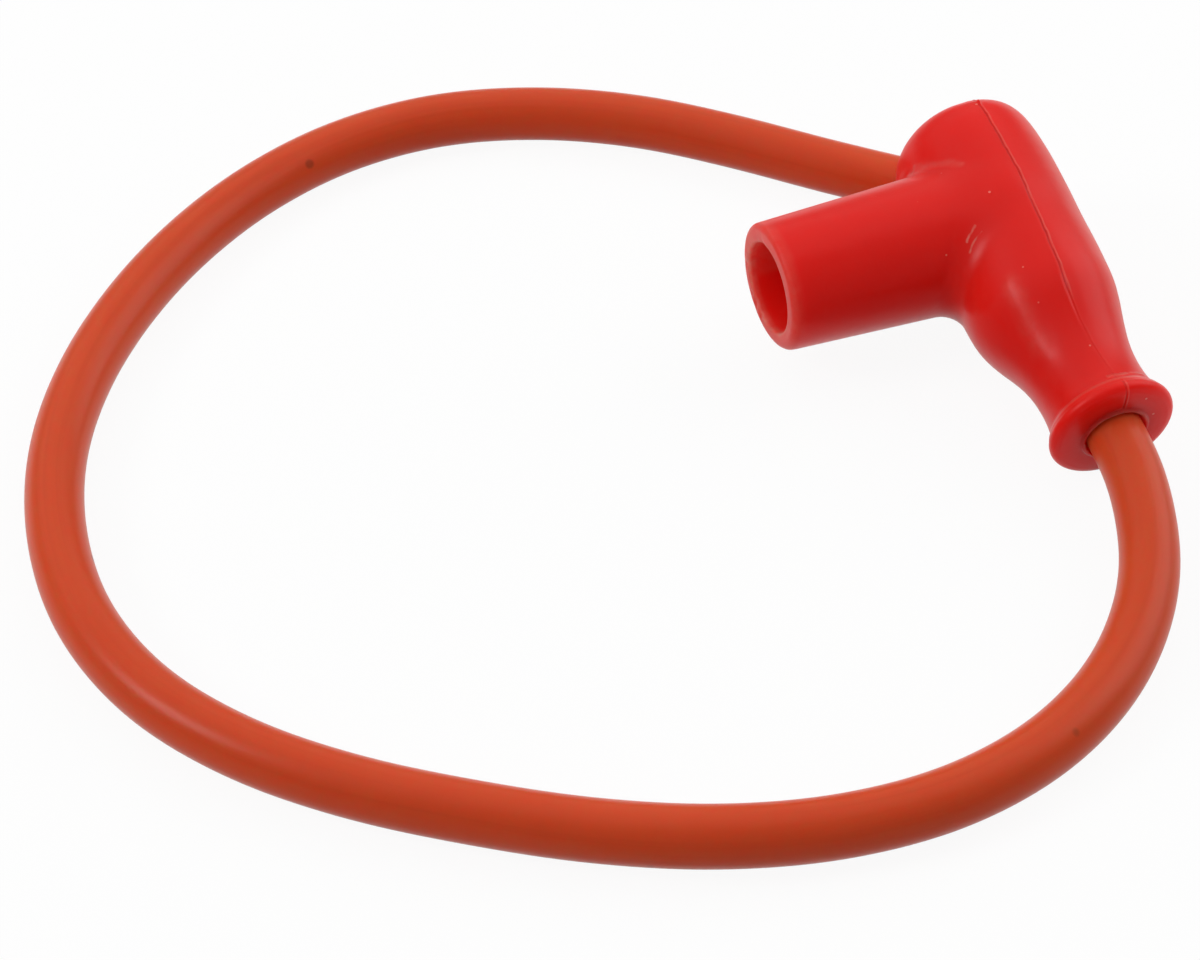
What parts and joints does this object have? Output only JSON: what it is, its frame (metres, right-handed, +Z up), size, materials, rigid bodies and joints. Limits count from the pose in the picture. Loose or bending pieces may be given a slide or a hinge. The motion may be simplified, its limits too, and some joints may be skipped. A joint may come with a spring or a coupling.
{
  "type": "spark plug wire",
  "caption": "Spark plug lead: a T-shaped silicone plug boot with a brass snap socket, on a round silicone ignition cable that lies in one open loop and ends in a plain cut.",
  "frame": {"origin": "middle of the box that the boot and the metal pieces in it fill, at the surface the lead lies on", "axes": "+Z up; the plug socket opens towards -X; the boot's body runs along Y and the cable leaves its flange towards -Y"},
  "size_m": [0.1358, 0.137, 0.0228],
  "materials": {
    "boot_silicone": "moulded red silicone, satin with a milky bloom on its edges",
    "cable_silicone": "extruded orange-red silicone, smooth satin",
    "brass": "stamped and turned, plain",
    "spring_steel": "drawn wire, plain",
    "tinned_copper": "fine tinned copper strands"
  },
  "bodies": {
    "root": {"boot": "boot_silicone", "plug_terminal": "brass", "terminal_clip": "spring_steel", "crimp_strap": "brass", "cable_jacket": "cable_silicone", "cable_core": "tinned_copper"}
  },
  "joints": []
}
